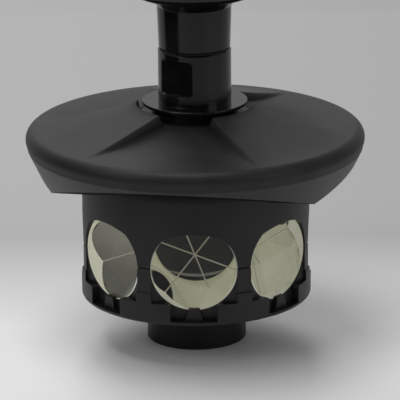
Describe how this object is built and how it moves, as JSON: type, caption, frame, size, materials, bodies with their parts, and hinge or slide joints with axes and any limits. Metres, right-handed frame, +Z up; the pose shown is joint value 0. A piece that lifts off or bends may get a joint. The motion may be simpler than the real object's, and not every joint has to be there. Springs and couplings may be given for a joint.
{
  "type": "surveying reflector prism",
  "caption": "All-round surveying reflector: glass corner cubes in a ring under a lobed hood, with a threaded pole socket below and a screw-on antenna adapter on top.",
  "frame": {"origin": "middle of the underside of the pole boss, where the reflector seats on its pole", "axes": "+Z up along the tie rod, from the pole to the antenna adapter; -Y out of the front prism, to within the ring's small turn"},
  "size_m": [0.1022, 0.1022, 0.128],
  "materials": {
    "spindle_metal": "black anodised, satin",
    "ring_plastic": "moulded, finely grained",
    "hood_plastic": "moulded, matt",
    "neck_metal": "black anodised, glossy",
    "bare_aluminium": "turned",
    "prism_glass": "polished, silvered at the back",
    "cushion_rubber": "soft",
    "seal_rubber": "matt",
    "screw_steel": "plain"
  },
  "bodies": {
    "root": {"spindle": "spindle_metal", "lower_ring": "ring_plastic", "upper_ring": "ring_plastic", "core": "bare_aluminium", "prism_1": "prism_glass", "prism_2": "prism_glass", "prism_3": "prism_glass", "prism_4": "prism_glass", "prism_5": "prism_glass", "prism_6": "prism_glass", "prism_7": "prism_glass", "cushion_1": "cushion_rubber", "cushion_2": "cushion_rubber", "cushion_3": "cushion_rubber", "cushion_4": "cushion_rubber", "cushion_5": "cushion_rubber", "cushion_6": "cushion_rubber", "cushion_7": "cushion_rubber", "skirt": "hood_plastic", "gasket": "seal_rubber", "cover": "hood_plastic", "hood_screws": "screw_steel", "sleeve": "bare_aluminium", "washer": "spindle_metal", "neck": "neck_metal"},
    "adapter_seal": {"seal": "seal_rubber"},
    "adapter": {"adapter": "neck_metal"}
  },
  "joints": [
    {"name": "adapter_lift", "type": "slide", "parent": "root", "child": "adapter_seal", "axis": [0, 0, 1], "range_m": [0, 0.0093]},
    {"name": "adapter_turn", "type": "hinge", "parent": "adapter_seal", "child": "adapter", "pos_m": [0, 0, 0.091], "axis": [0, 0, 1], "range_deg": [0, 1440]}
  ],
  "couplings": [
    {"joint": "adapter_lift", "follows": "adapter_turn", "m_per_rad": 0.0003675}
  ]
}
